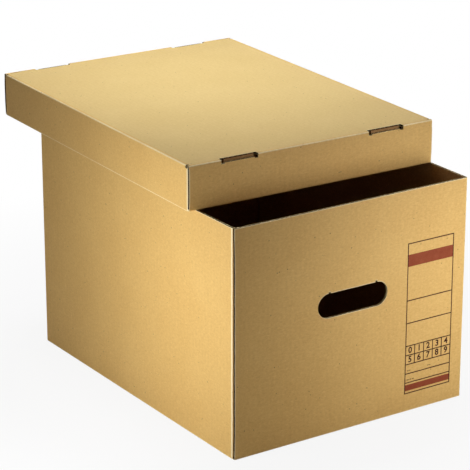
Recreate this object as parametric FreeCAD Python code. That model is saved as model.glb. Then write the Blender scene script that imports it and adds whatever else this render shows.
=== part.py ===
import FreeCAD, Part
import os

# An archival box of single-wall corrugated board: a glued four-wall body with bottom flaps and two
# hand holes, and a separate lid that is a folded tray with rolled-over ends.
#
# Millimetres. The origin is the centre of the body's base on the floor, +X runs to the right along
# the front face (the one with the label), +Y runs to the back and +Z is up.

Vector = FreeCAD.Vector
X_AXIS = Vector(1, 0, 0)
Y_AXIS = Vector(0, 1, 0)
Z_AXIS = Vector(0, 0, 1)

# ---- the board -----------------------------------------------------------------------------------
board = 3.0                 # thickness of the corrugated board
crease_radius = 0.8         # inside radius of a folded corner
board_gap = 0.3             # between two pieces of board that move on each other
cut_setback = 0.7           # how far a cut edge at a corner stands back from the face beside it

# ---- the body ------------------------------------------------------------------------------------
inner_width = 325.0         # X, clear between the side walls
inner_length = 430.0        # Y, clear between the front and back walls
body_height = 280.0         # floor to rim
glue_flap_width = 36.0      # the strip of the left wall that is glued behind the front wall
glue_flap_rise = 12.0       # the strip starts this far above the bottom flaps, clear of their swing
bottom_flap_clearance = 1.2 # between the end of a bottom flap and the corner fold beside it

hand_hole_width = 100.0
hand_hole_height = 30.0
hand_hole_drop = 119.0      # from the rim down to the middle of the hole
nick_width = 3.0            # nick at each end of the crease along the hole's top edge
nick_height = 2.0
die_cut = 0.5               # clearance that the cutting rule leaves round the hand-hole flap

# ---- the lid -------------------------------------------------------------------------------------
lid_side_clearance = 1.5    # body's side wall to lid's side skirt, with the lid closed
lid_end_clearance = 1.0     # body's end wall to lid's rolled end, with the lid closed
lid_height = 54.0           # whole height of the lid, top panel included
corner_tab_length = 26.0    # end of the side skirt, folded in behind the end skirt
corner_tab_clearance = 1.0  # above and below a corner tab
joggle_start = 8.0          # inner panel: flat stretch past the end of the corner tab
joggle_length = 10.0        # inner panel: the bend from over the tab to the skirt's back
inner_panel_clearance = 1.0 # between the end of an inner panel and the side skirt

slot_width = 50.0           # slot at the top crease that takes a locking tab
slot_offset = 102.0         # middle of the lid to the middle of a slot
slot_end_gap = 5.0          # open end of the slot, beside the tab
slot_back_gap = 0.5         # open strip of the slot, behind the tab

# ---- where the lid lies: on the rim, slid back and turned a little -------------------------------
lid_slide = 81.5            # towards the back
lid_turn = -1.5             # degrees about +Z

# ---- derived -------------------------------------------------------------------------------------
fold_radius = crease_radius + board
outer_width = inner_width + 2 * board
outer_length = inner_length + 2 * board
wall_x = outer_width / 2
wall_y = outer_length / 2
bottom_flap_length = inner_width / 2 - 1.5 * board_gap  # the outer flaps meet in the middle
hole_middle = body_height - hand_hole_drop
hole_top = hole_middle + hand_hole_height / 2

lid_x = wall_x + lid_side_clearance + board
lid_y = wall_y + lid_end_clearance + 3 * board
lid_base = body_height + board_gap


def box(x0, x1, y0, y1, z0, z1):
    """A box between two corners."""
    return Part.makeBox(x1 - x0, y1 - y0, z1 - z0, Vector(x0, y0, z0))


def prism(points, height, base):
    """A flat outline in X and Y, raised by height from base."""
    corners = [Vector(x, y, base) for x, y in points]
    face = Part.Face(Part.makePolygon(corners + corners[:1]))
    return face.extrude(Vector(0, 0, height))


def fold(axis_start, along, outward):
    """A quarter turn of board round an axis: the crease between two panels.

    axis_start is one end of the axis, along is the vector to its other end, and outward is the
    diagonal from the axis to the box's corner, one step of 1 or -1 in each of the two directions.
    """
    ring = Part.makeCylinder(fold_radius, along.Length, axis_start, along)
    ring = ring.cut(Part.makeCylinder(crease_radius, along.Length, axis_start, along))
    opposite = axis_start + along + outward * fold_radius
    low = [min(pair) for pair in zip(axis_start, opposite)]
    high = [max(pair) for pair in zip(axis_start, opposite)]
    return ring.common(box(low[0], high[0], low[1], high[1], low[2], high[2]))


def stadium(width, height, middle, y0, y1):
    """A slot shape with round ends, standing in X and Z and running through from y0 to y1."""
    radius = height / 2
    reach = width / 2 - radius
    shape = box(-reach, reach, y0, y1, middle - radius, middle + radius)
    for x in (-reach, reach):
        shape = shape.fuse(Part.makeCylinder(radius, y1 - y0, Vector(x, y0, middle), Y_AXIS))
    return shape.removeSplitter()


def mirrored_x(shape):
    """The same shape on the other side of the YZ plane."""
    return shape.mirror(Vector(0, 0, 0), X_AXIS)


def mirrored_y(shape):
    """The same shape on the other side of the XZ plane."""
    return shape.mirror(Vector(0, 0, 0), Y_AXIS)


def one_solid(shape):
    """The single solid of a fused shape, without seams between flush faces."""
    return shape.removeSplitter().Solids[0]


# ---- body ----------------------------------------------------------------------------------------

def hand_hole():
    """What the cutting rule takes out of the front wall, with a nick at each end of the crease."""
    y0, y1 = -wall_y - board, -wall_y + 2 * board
    hole = stadium(hand_hole_width, hand_hole_height, hole_middle, y0, y1)
    end = (hand_hole_width - hand_hole_height) / 2
    nick = box(end - nick_width, end, y0, y1, hole_middle, hole_top + nick_height)
    return one_solid(hole.fuse([nick, mirrored_x(nick)]))


def front_wall():
    """From the cut edge at the left corner to the fold at the right corner."""
    wall = box(-wall_x + cut_setback, wall_x - fold_radius, -wall_y, -wall_y + board, 0, body_height)
    return wall.cut(hand_hole())


def back_wall():
    """Between the two folds at the back."""
    reach = wall_x - fold_radius
    return box(-reach, reach, wall_y - board, wall_y, 0, body_height).cut(mirrored_y(hand_hole()))


def right_wall():
    """The right side with the folds at both of its corners."""
    reach = wall_y - fold_radius
    wall = box(wall_x - board, wall_x, -reach, reach, 0, body_height)
    rise = Z_AXIS * body_height
    front = fold(Vector(wall_x - fold_radius, -reach, 0), rise, Vector(1, -1, 0))
    back = fold(Vector(wall_x - fold_radius, reach, 0), rise, Vector(1, 1, 0))
    return one_solid(wall.fuse([front, back]))


def left_wall():
    """The left side, with a fold to the back wall and one to the glue flap behind the front wall."""
    front_y = -wall_y + board + fold_radius
    back_y = wall_y - fold_radius
    wall = box(-wall_x, -wall_x + board, front_y, back_y, 0, body_height)
    rise = Z_AXIS * body_height
    front = fold(Vector(-wall_x + fold_radius, front_y, 0), rise, Vector(-1, -1, 0))
    back = fold(Vector(-wall_x + fold_radius, back_y, 0), rise, Vector(-1, 1, 0))
    return one_solid(wall.fuse([front, back]))


def glue_flap():
    """The flat strip glued to the back of the front wall."""
    start = -wall_x + fold_radius
    base = 2 * (board + board_gap) + glue_flap_rise
    return box(start, start + glue_flap_width, -wall_y + board, -wall_y + 2 * board, base, body_height)


def left_bottom_flap():
    """Outer flap: lies on the floor, from the left wall to the middle."""
    start = -wall_x + board + board_gap
    reach = inner_length / 2 - fold_radius - bottom_flap_clearance
    return box(start, start + bottom_flap_length, -reach, reach, 0, board)


def front_bottom_flap():
    """Inner flap: lies on the outer flaps, from the front wall inwards."""
    start = -wall_y + board + board_gap
    reach = inner_width / 2 - fold_radius - bottom_flap_clearance
    base = board + board_gap
    return box(-reach, reach, start, start + bottom_flap_length, base, base + board)


def front_handle_flap():
    """The piece cut from the hand hole, folded up inside on the crease along the hole's top edge."""
    flap = stadium(hand_hole_width - 2 * die_cut, hand_hole_height - 2 * die_cut, hole_top, 0, board)
    flap.translate(Vector(0, -wall_y + board + board_gap, hand_hole_height / 2))
    return flap


# ---- lid, modelled closed on its own middle with z = 0 at the skirts' lower edge ------------------

def slot_cutter():
    """What is cut out of the top crease at the front for the right-hand locking tab."""
    reach = slot_width / 2
    back = -lid_y + 2 * board + slot_back_gap
    low = lid_height - fold_radius
    return box(slot_offset - reach, slot_offset + reach, -lid_y - board, back, low, lid_height + board)


def cut_four_slots(shape):
    """Take the four slots of the top creases out of a panel or a skirt."""
    right_front = slot_cutter()
    both_front = [right_front, mirrored_x(right_front)]
    return shape.cut(both_front + [mirrored_y(cutter) for cutter in both_front])


def lid_top_panel():
    """The flat top, up to where the creases begin."""
    reach_x = lid_x - fold_radius
    reach_y = lid_y - fold_radius
    panel = box(-reach_x, reach_x, -reach_y, reach_y, lid_height - board, lid_height)
    return one_solid(cut_four_slots(panel))


def lid_right_skirt():
    """One layer of board at the side, with the top crease and the folds to its two corner tabs."""
    reach = lid_y - board - fold_radius
    top = lid_height - fold_radius
    axis_x = lid_x - fold_radius
    skirt = box(lid_x - board, lid_x, -reach, reach, 0, top)
    crease = fold(Vector(axis_x, -reach, top), Y_AXIS * (2 * reach), Vector(1, 0, 1))
    corner = fold(Vector(axis_x, -reach, 0), Z_AXIS * top, Vector(1, -1, 0))
    return one_solid(skirt.fuse([crease, corner, mirrored_y(corner)]))


def lid_front_skirt():
    """The outer layer of the rolled end, hung from the top crease, with its cut edges at the sides."""
    reach = lid_x - cut_setback
    top = lid_height - fold_radius
    skirt = box(-reach, reach, -lid_y, -lid_y + board, crease_radius, top)
    foot = box(-reach, reach, -lid_y + crease_radius, -lid_y + board, 0, crease_radius)
    roll_axis = Vector(-reach, -lid_y + crease_radius, crease_radius)
    roll = Part.makeCylinder(crease_radius, 2 * reach, roll_axis, X_AXIS)
    crease = fold(Vector(-reach, -lid_y + fold_radius, top), X_AXIS * (2 * reach), Vector(0, -1, 1))
    return one_solid(cut_four_slots(skirt.fuse([foot, roll, crease])))


def lid_corner_tab():
    """Front right: the end of the side skirt, behind the end skirt and in front of the inner panel."""
    start = lid_x - fold_radius
    layer = -lid_y + board
    low = board + corner_tab_clearance
    high = lid_height - board - corner_tab_clearance
    return box(start - corner_tab_length, start, layer, layer + board, low, high)


def lid_front_inner_panel():
    """The rolled-over layer: over the corner tabs, then against the skirt, with two locking tabs."""
    skirt_back = -lid_y + board
    reach = lid_x - board - inner_panel_clearance
    over_tab = lid_x - fold_radius - corner_tab_length - joggle_start
    hugging = over_tab - joggle_length
    near, far = skirt_back, skirt_back + board
    line = [(reach, far), (over_tab, far), (hugging, near), (-hugging, near), (-over_tab, far), (-reach, far)]
    inner_line = [(x, y + board) for x, y in reversed(line)]
    panel = prism(line + inner_line, lid_height - fold_radius, 0)
    foot = prism([(reach, near), (-reach, near)] + inner_line, board, 0)
    half_tab = slot_width / 2 - slot_end_gap
    tabs = []
    for x in (-slot_offset, slot_offset):
        tabs.append(box(x - half_tab, x + half_tab, near, far, lid_height / 2, lid_height))
    return one_solid(panel.fuse([foot] + tabs))


def laid_on_rim(shape):
    """Put a piece of the lid where the lid lies on the body."""
    placed = shape.copy()
    placed.rotate(Vector(0, 0, 0), Z_AXIS, lid_turn)
    placed.translate(Vector(0, lid_slide, lid_base))
    return placed


# ---- the pieces ----------------------------------------------------------------------------------

nodes = {
    "front_wall": front_wall(),
    "back_wall": back_wall(),
    "right_wall": right_wall(),
    "left_wall": left_wall(),
    "glue_flap": glue_flap(),
    "left_bottom_flap": left_bottom_flap(),
    "right_bottom_flap": mirrored_x(left_bottom_flap()),
    "front_bottom_flap": front_bottom_flap(),
    "back_bottom_flap": mirrored_y(front_bottom_flap()),
    "front_handle_flap": front_handle_flap(),
    "back_handle_flap": mirrored_y(front_handle_flap()),
}

lid_nodes = {
    "lid_top_panel": lid_top_panel(),
    "lid_right_skirt": lid_right_skirt(),
    "lid_left_skirt": mirrored_x(lid_right_skirt()),
    "lid_front_skirt": lid_front_skirt(),
    "lid_back_skirt": mirrored_y(lid_front_skirt()),
    "lid_front_inner_panel": lid_front_inner_panel(),
    "lid_back_inner_panel": mirrored_y(lid_front_inner_panel()),
    "lid_front_right_tab": lid_corner_tab(),
    "lid_front_left_tab": mirrored_x(lid_corner_tab()),
    "lid_back_right_tab": mirrored_y(lid_corner_tab()),
    "lid_back_left_tab": mirrored_x(mirrored_y(lid_corner_tab())),
}

for name, shape in lid_nodes.items():
    nodes[name] = laid_on_rim(shape)

os.makedirs("parts", exist_ok=True)
for name, shape in nodes.items():
    shape.exportStep("parts/" + name + ".step")
    print(name, len(shape.Solids), shape.isValid(), round(shape.Volume, 1))
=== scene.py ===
import logging
import math
from dataclasses import dataclass, field, replace
from enum import Enum
from typing import Callable

import bpy
import numpy as np
from mathutils import Euler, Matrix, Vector


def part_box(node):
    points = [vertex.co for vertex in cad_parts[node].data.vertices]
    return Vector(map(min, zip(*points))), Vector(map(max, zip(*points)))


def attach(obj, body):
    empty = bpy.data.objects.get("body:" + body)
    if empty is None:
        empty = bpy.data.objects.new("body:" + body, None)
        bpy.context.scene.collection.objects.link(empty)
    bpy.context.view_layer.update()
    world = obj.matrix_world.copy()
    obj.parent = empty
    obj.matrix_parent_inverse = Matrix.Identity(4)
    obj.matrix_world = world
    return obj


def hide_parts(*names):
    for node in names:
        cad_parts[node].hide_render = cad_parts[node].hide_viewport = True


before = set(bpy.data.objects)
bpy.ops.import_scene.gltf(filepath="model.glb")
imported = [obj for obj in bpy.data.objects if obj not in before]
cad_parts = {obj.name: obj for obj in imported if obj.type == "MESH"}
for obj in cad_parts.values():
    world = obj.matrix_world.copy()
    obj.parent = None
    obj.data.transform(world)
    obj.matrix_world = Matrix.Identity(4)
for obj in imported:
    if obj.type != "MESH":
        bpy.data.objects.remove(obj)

log = logging.getLogger("archival_box")

MM = 0.001
RIM = 1.1 * MM  # width of the pale border along a cut edge: rubbing and painted highlight
CREASE = 1.7 * MM  # radius of the outside of a fold
CRUSHED = 0.5  # share of its thickness that board keeps in a fold
STRIPE = 1.3 * MM  # half width of the painted highlight stripe beside the glued corner
CUT_PHASE = 0.75  # where in a wave a panel is cut, so that its fluting meets a liner
HAIR = 0.01 * MM  # half the distance between the two stations of a step
OPEN_DEPTH = 1.4 * MM  # how deep the open flutes of a cut are, with a little to spare
LID_TURN = -1.5  # how far the lid lies turned about Z, in degrees
SMOOTH_TO = 38.0  # the sharpest angle between faces that is still shaded smooth, in degrees

X = np.array([1.0, 0.0, 0.0])
Y = np.array([0.0, 1.0, 0.0])
Z = np.array([0.0, 0.0, 1.0])

THREAD = (246, 214, 150)
SHADE = (128, 88, 48)
# Pale tone of rubbing, and of the painted highlight along rims, creases and the left wall's front
# fold
PALE_RUB_AND_HIGHLIGHT = (255, 237, 192)
SPECK = (92, 58, 32)
RIB = (120, 84, 44)


class Face(Enum):
    """The surfaces that a piece of corrugated board shows, in the order of its material slots."""

    OUTSIDE = 0
    INSIDE = 1
    EDGE = 2
    # The fluting's dark tone is partly the medium's own brown and partly painted shade of open
    # flutes and narrow gaps.
    FLUTE = 3


# ---- surfaces ------------------------------------------------------------------------------------


def rise(value: np.ndarray, start: float, length: float) -> np.ndarray:
    """Nought up to start, then straight up to one: the value less start, over the length."""
    return np.clip((value - start) / length, 0.0, 1.0)


def fall(value: np.ndarray, start: float, length: float) -> np.ndarray:
    """One up to start, then straight down to nought over a length."""
    return 1.0 - rise(value, start, length)


@dataclass
class Patch:
    """A closed stretch of mesh: its points, its quads, their Faces and the points' rubbing and
    painted highlight.
    """

    points: np.ndarray
    quads: np.ndarray
    faces: np.ndarray
    worn: np.ndarray


def closed_sheet(
    front: np.ndarray,
    back: np.ndarray,
    shows: tuple[Face, Face, Face],
    worn: np.ndarray | None = None,
) -> Patch:
    """Close two grids of the same size into a thin solid.

    The quads of the front grid, the reversed quads of the back grid and a strip along each of the
    four borders make one shell. It is turned inside out if the step across each quad, crossed with
    the step along it, points from the front grid to the back one.

    Args:
        front: outer points, rows x columns x 3.
        back: inner points, in the same order.
        shows: what the front, the back and the border strips show.
        worn: the rubbing and painted highlight of the front grid, rows x columns, or None where
            there is none.

    Returns:
        The closed patch.
    """
    rows, columns = front.shape[:2]
    top = np.arange(rows * columns).reshape(rows, columns)
    low = top + rows * columns

    def strip(a: np.ndarray, b: np.ndarray, c: np.ndarray, d: np.ndarray) -> np.ndarray:
        """Quads from four arrays of corner numbers."""
        return np.stack([a.ravel(), b.ravel(), c.ravel(), d.ravel()], axis=1)

    upper = strip(top[:-1, :-1], top[1:, :-1], top[1:, 1:], top[:-1, 1:])
    lower = strip(low[:-1, :-1], low[:-1, 1:], low[1:, 1:], low[1:, :-1])
    borders = np.concatenate([
        strip(top[1:, 0], top[:-1, 0], low[:-1, 0], low[1:, 0]),
        strip(top[:-1, -1], top[1:, -1], low[1:, -1], low[:-1, -1]),
        strip(top[0, :-1], top[0, 1:], low[0, 1:], low[0, :-1]),
        strip(top[-1, 1:], top[-1, :-1], low[-1, :-1], low[-1, 1:]),
    ])
    across = front[1:, :-1] - front[:-1, :-1]
    along = front[:-1, 1:] - front[:-1, :-1]
    outward = (front - back)[:-1, :-1]
    quads = np.concatenate([upper, lower, borders])
    if np.sum(np.cross(across, along) * outward) < 0:
        quads = quads[:, ::-1]
    kinds = np.repeat([face.value for face in shows], [len(upper), len(lower), len(borders)])
    points = np.concatenate([front.reshape(-1, 3), back.reshape(-1, 3)])
    wear = np.zeros(len(points))
    if worn is not None:
        wear[: rows * columns] = worn.ravel()
    return Patch(points, quads, kinds, wear)


@dataclass(frozen=True)
class Board:
    """Single-wall corrugated board: two liners with a wavy sheet of fluting between them."""

    thickness: float
    liner: float = 0.45 * MM
    medium: float = 0.32 * MM
    pitch: float = 6.4 * MM
    steps_per_wave: int = 10
    recess: float = 1.3 * MM
    hollow: Face = Face.FLUTE

    def wave(self, distance: np.ndarray) -> np.ndarray:
        """Offset of the fluting from the board's middle: a sine of the distance across it."""
        swing = (self.thickness - 2 * self.liner - self.medium) / 2
        return swing * np.sin(2 * math.pi * distance / self.pitch)

    def stations(self, start: float, stop: float) -> np.ndarray:
        """Evenly spaced places across the flutes, a set number to each wave."""
        count = max(2, round((stop - start) / self.pitch * self.steps_per_wave) + 1)
        return np.linspace(start, stop, count)


@dataclass
class Line:
    """The outside face of a board across its flutes.

    outward holds its normals and crush the share of its thickness that the board keeps at each
    point.
    """

    points: np.ndarray
    outward: np.ndarray
    crush: np.ndarray

    @classmethod
    def flat(cls, points: np.ndarray, outward: np.ndarray) -> "Line":
        """A line of whole board that faces one way."""
        return cls(points, np.tile(outward, (len(points), 1)), np.ones(len(points)))

    def __add__(self, other: "Line") -> "Line":
        """This line and one that starts at its last point."""
        return Line(
            np.concatenate([self.points, other.points[1:]]),
            np.concatenate([self.outward, other.outward[1:]]),
            np.concatenate([self.crush, other.crush[1:]]),
        )


def fold_line(centre: np.ndarray, first: np.ndarray, second: np.ndarray, radius: float) -> Line:
    """A creased fold, crushed until its outside is tighter than the board is thick.

    Both faces run on straight towards the corner by the radius less the crease's own radius, while
    the board thins. Between them the outside is a quarter turn: the middle of the crease plus its
    radius times (first cos t + second sin t), t from nought to a right angle.

    Args:
        centre: the middle of a fold of the full radius.
        first: the outward direction where the fold starts.
        second: the outward direction where it ends.
        radius: the full radius.

    Returns:
        The line.
    """
    lead = radius - CREASE
    turn = np.linspace(0.0, math.pi / 2, 7)[:, None]
    normals = np.cos(turn) * first + np.sin(turn) * second
    arc = centre + lead * (first + second) + CREASE * normals
    share = np.linspace(0.0, 1.0, 4)[:, None]
    lead_in = centre + radius * first + lead * share * second
    lead_out = centre + radius * second + lead * (1 - share) * first
    thinning = 1 - (1 - CRUSHED) * share.ravel()
    return (
        Line(lead_in, np.tile(first, (4, 1)), thinning)
        + Line(arc, normals, np.full(len(arc), CRUSHED))
        + Line(lead_out, np.tile(second, (4, 1)), thinning[::-1])
    )


@dataclass
class Run:
    """A stretch of board: a line across its flutes that is carried along them.

    along is the unit direction of the flutes, low and high say where the board starts and stops
    along them at each point of the line. bow gives how far a point stands off outwards, cut_low and
    cut_high the rubbing and painted highlight of the board's ends, and wear,
    if given, that of the face at each point. A turned run has the board's inside on its outward
    side.
    """

    line: Line
    along: np.ndarray
    low: np.ndarray
    high: np.ndarray
    open_start: bool = False
    open_stop: bool = False
    start_distance: float = 0.0
    rows: int = 2
    bow: Callable[[np.ndarray], np.ndarray] | None = None
    cut_low: np.ndarray | float = 0.0
    cut_high: np.ndarray | float = 0.0
    turned: bool = False
    wear: np.ndarray | None = None

    def distance(self) -> np.ndarray:
        """How far each point is across the flutes, measured along the line."""
        steps = np.linalg.norm(np.diff(self.line.points, axis=0), axis=1)
        return self.start_distance + np.concatenate([[0.0], np.cumsum(steps)])

    def grid(self, depth: np.ndarray, inset: float = 0.0) -> np.ndarray:
        """Points at a depth under the outside face.

        Each point is the line's point, less its normal times the depth and the crush, plus the
        flute direction times a height that runs from low to high, with a narrow rim at both ends.

        Args:
            depth: one depth for each point of the line.
            inset: how much shorter the grid is at both ends of the flutes.

        Returns:
            Points, line x rows x 3.
        """
        low = (self.low + inset)[:, None]
        high = (self.high - inset)[:, None]
        rim = np.minimum(RIM, (high - low) / 3)
        share = np.linspace(0.0, 1.0, self.rows)[None, :]
        height = np.concatenate([low, low + rim + (high - low - 2 * rim) * share, high], axis=1)
        base = self.line.points - self.line.outward * (depth * self.line.crush)[:, None]
        points = base[:, None, :] + height[..., None] * self.along[None, None, :]
        if self.bow is not None:
            points = points + self.bow(points)[..., None] * self.line.outward[:, None, :]
        return points

    def worn(self) -> np.ndarray:
        """Rubbing and painted highlight of the outside face: strongest halfway round a fold and at
        a cut edge.

        On a fold it is twice the product of the normal's two parts, which is the sine of double the
        fold's angle. Beside a cut edge it falls from the edge's own value to nothing over one rim.

        Returns:
            Rubbing and painted highlight from 0 to 1, line x rows.
        """
        part = np.abs(self.line.outward)
        wear = 2 * (part[:, 0] * part[:, 1] + part[:, 1] * part[:, 2] + part[:, 2] * part[:, 0])
        if self.wear is not None:
            wear = self.wear
        distance = self.distance()
        if self.open_start:
            wear = np.maximum(wear, 1 - (distance - distance[0]) / RIM)
        if self.open_stop:
            wear = np.maximum(wear, 1 - (distance[-1] - distance) / RIM)
        grid = np.repeat(wear[:, None], self.rows + 2, axis=1)
        grid[:, 0] = np.maximum(grid[:, 0], self.cut_low)
        grid[:, -1] = np.maximum(grid[:, -1], self.cut_high)
        return grid

    def trimmed(self, start: float, stop: float) -> "Run":
        """The same run without a length at each end of its line.

        Args:
            start: the length that goes at the start.
            stop: the length that goes at the stop.

        Returns:
            The shorter run.
        """
        distance = self.distance()
        keep = (distance >= distance[0] + start) & (distance <= distance[-1] - stop)
        line = Line(self.line.points[keep], self.line.outward[keep], self.line.crush[keep])
        return Run(line, self.along, self.low[keep], self.high[keep], rows=self.rows, bow=self.bow)


def liner_patches(run: Run, board: Board) -> list[Patch]:
    """The two liners of one run of board and the closed middle between them.

    The middle is a plain slab, set back from the cut ends, so that an open end shows a shallow
    hollow.

    Args:
        run: the stretch of board.
        board: what the board is made of.

    Returns:
        Three closed patches.
    """
    ones = np.ones(len(run.line.points))
    near, far = (Face.INSIDE, Face.OUTSIDE) if run.turned else (Face.OUTSIDE, Face.INSIDE)
    outer = closed_sheet(
        run.grid(ones * 0.0),
        run.grid(ones * board.liner),
        (near, Face.FLUTE, Face.EDGE),
        run.worn(),
    )
    inner = closed_sheet(
        run.grid(ones * (board.thickness - board.liner)),
        run.grid(ones * board.thickness),
        (Face.FLUTE, far, Face.EDGE),
    )
    core = run.trimmed(
        board.recess if run.open_start else 0.0, board.recess if run.open_stop else 0.0
    )
    flat = np.ones(len(core.line.points))
    middle = closed_sheet(
        core.grid(flat * board.liner * 0.9, board.recess),
        core.grid(flat * (board.thickness - board.liner * 0.9), board.recess),
        (Face.FLUTE, Face.FLUTE, board.hollow),
    )
    return [outer, inner, middle]


def board_patches(run: Run, board: Board) -> list[Patch]:
    """One run of board: its liners, its middle, and the fluting that shows in its cut ends.

    The fluting is a sheet whose middle is half the board's thickness less the wave.

    Args:
        run: the stretch of board.
        board: what the board is made of.

    Returns:
        Four closed patches.
    """
    middle = board.thickness / 2 - board.wave(run.distance())
    fluting = closed_sheet(
        run.grid(middle - board.medium / 2),
        run.grid(middle + board.medium / 2),
        (Face.FLUTE, Face.FLUTE, Face.EDGE),
    )
    return [*liner_patches(run, board), fluting]


def shaded_cut(patches: list[Patch], x: float) -> list[Patch]:
    """The same patches with the cut end at one x given the dark flute tone: painted shade of a
    narrow gap.

    A cut face belongs to that end if all its corners are within the depth of the open flutes of it.

    Args:
        patches: the patches of one or more runs.
        x: where the cut end is.

    Returns:
        The patches.
    """
    for patch in patches:
        at_cut = np.all(np.abs(patch.points[patch.quads][..., 0] - x) < OPEN_DEPTH, axis=1)
        dark = at_cut & (patch.faces == Face.EDGE.value)
        patch.faces = np.where(dark, Face.FLUTE.value, patch.faces)
    return patches


def straight_run(
    board: Board,
    start: np.ndarray,
    stop: np.ndarray,
    outward: np.ndarray,
    along: np.ndarray,
    low: float,
    high: float,
    **ends: bool,
) -> Run:
    """A flat stretch of board.

    Args:
        board: what the board is made of.
        start: where its outside starts.
        stop: where its outside stops.
        outward: the direction that its outside faces.
        along: the direction of its flutes.
        low: where it starts along the flutes.
        high: where it stops along the flutes.
        ends: which ends are cut, as open_start and open_stop.

    Returns:
        The run.
    """
    length = float(np.linalg.norm(stop - start))
    distance = board.stations(0.0, length)
    line = Line.flat(start + (stop - start) * (distance / length)[:, None], outward)
    flat = np.ones(len(distance))
    return Run(line, along, flat * low, flat * high, **ends)


def slab(low: tuple[float, float, float], high: tuple[float, float, float], face: Face) -> Patch:
    """A closed block, as a front and a back grid of four points.

    Args:
        low: its lowest corner.
        high: its highest corner.
        face: what all its sides show.

    Returns:
        The patch.
    """
    x, z = np.meshgrid([low[0], high[0]], [low[2], high[2]], indexing="ij")
    front = np.stack([x, np.full_like(x, low[1]), z], axis=-1)
    back = np.stack([x, np.full_like(x, high[1]), z], axis=-1)
    return closed_sheet(front, back, (face, face, face))


# ---- shaders -------------------------------------------------------------------------------------


def srgb(red: int, green: int, blue: int) -> tuple[float, float, float, float]:
    """A colour written as on a screen, as the linear values that a shader takes.

    Args:
        red: red from 0 to 255.
        green: green from 0 to 255.
        blue: blue from 0 to 255.

    Returns:
        Linear red, green and blue, and an alpha of 1.
    """

    def linear(value: int) -> float:
        """The inverse of the screen curve: a straight foot, then a power of 2.4."""
        share = value / 255
        return share / 12.92 if share <= 0.04045 else ((share + 0.055) / 1.055) ** 2.4

    return (linear(red), linear(green), linear(blue), 1.0)


class Sock:
    """A socket of a shader node, which adds Math nodes when it is used in an expression."""

    def __init__(self, owner: "NodeTree", socket: bpy.types.NodeSocket) -> None:
        """Keep the socket and the tree that it belongs to."""
        self.owner = owner
        self.socket = socket

    def _math(self, operation: str, first: "Sock | float", second: "Sock | float" = 0.0) -> "Sock":
        """One Math node."""
        return self.owner.node("ShaderNodeMath", {"operation": operation}, {0: first, 1: second})

    def __add__(self, other: "Sock | float") -> "Sock":
        """Sum."""
        return self._math("ADD", self, other)

    def __radd__(self, other: float) -> "Sock":
        """Sum, number first."""
        return self._math("ADD", other, self)

    def __sub__(self, other: "Sock | float") -> "Sock":
        """Difference."""
        return self._math("SUBTRACT", self, other)

    def __rsub__(self, other: float) -> "Sock":
        """Difference, number first."""
        return self._math("SUBTRACT", other, self)

    def __mul__(self, other: "Sock | float") -> "Sock":
        """Product."""
        return self._math("MULTIPLY", self, other)

    def __rmul__(self, other: float) -> "Sock":
        """Product, number first."""
        return self._math("MULTIPLY", other, self)

    def sine(self) -> "Sock":
        """The sine of an angle in radians."""
        return self._math("SINE", self)


class NodeTree:
    """The nodes of a material or a world, with one method that makes any node."""

    def __init__(self, host: bpy.types.Material | bpy.types.World, end: str) -> None:
        """Start with only the end node.

        Args:
            host: the material or world that the tree belongs to.
            end: the type of the end node.
        """
        host.use_nodes = True
        self.tree = host.node_tree
        self.tree.nodes.clear()
        self.end = self.node(end)

    def node(
        self,
        kind: str,
        settings: dict | None = None,
        inputs: dict | None = None,
        output: int | str = 0,
    ) -> Sock:
        """Make a node.

        Args:
            kind: the node's type.
            settings: its own properties, set first.
            inputs: value or Sock for each input socket, by name or number.
            output: which output to return.

        Returns:
            The output socket, or the first input of a node that has no output.
        """
        made = self.tree.nodes.new(kind)
        for key, value in (settings or {}).items():
            setattr(made, key, value)
        for key, value in (inputs or {}).items():
            self.feed(made.inputs[key], value)
        return Sock(self, made.outputs[output] if made.outputs else made.inputs[0])

    def feed(self, socket: bpy.types.NodeSocket, value: "Sock | float | tuple") -> None:
        """Link a Sock to a socket, or set a plain value on it."""
        if isinstance(value, Sock):
            self.tree.links.new(value.socket, socket)
        else:
            socket.default_value = value

    def show(self, surface: Sock) -> None:
        """Make a shader the surface."""
        self.feed(self.end.socket, surface)

    def seen(self) -> Sock:
        """Tell rays from the camera, and from mirrors and clear things, from all others.

        Returns:
            One for those rays, else nought.
        """
        names = ("Is Camera Ray", "Is Glossy Ray", "Is Transmission Ray")
        camera, glossy, through = (self.node("ShaderNodeLightPath", output=name) for name in names)
        return self.ramp(camera + glossy + through, 0.0, 1.0)

    def ramp(
        self, value: Sock, low: float, high: float, start: float = 0.0, stop: float = 1.0
    ) -> Sock:
        """Spread a value between low and high over start to stop, held at both ends."""
        return self.node(
            "ShaderNodeMapRange",
            {"clamp": True},
            {"Value": value, "From Min": low, "From Max": high, "To Min": start, "To Max": stop},
        )


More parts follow.
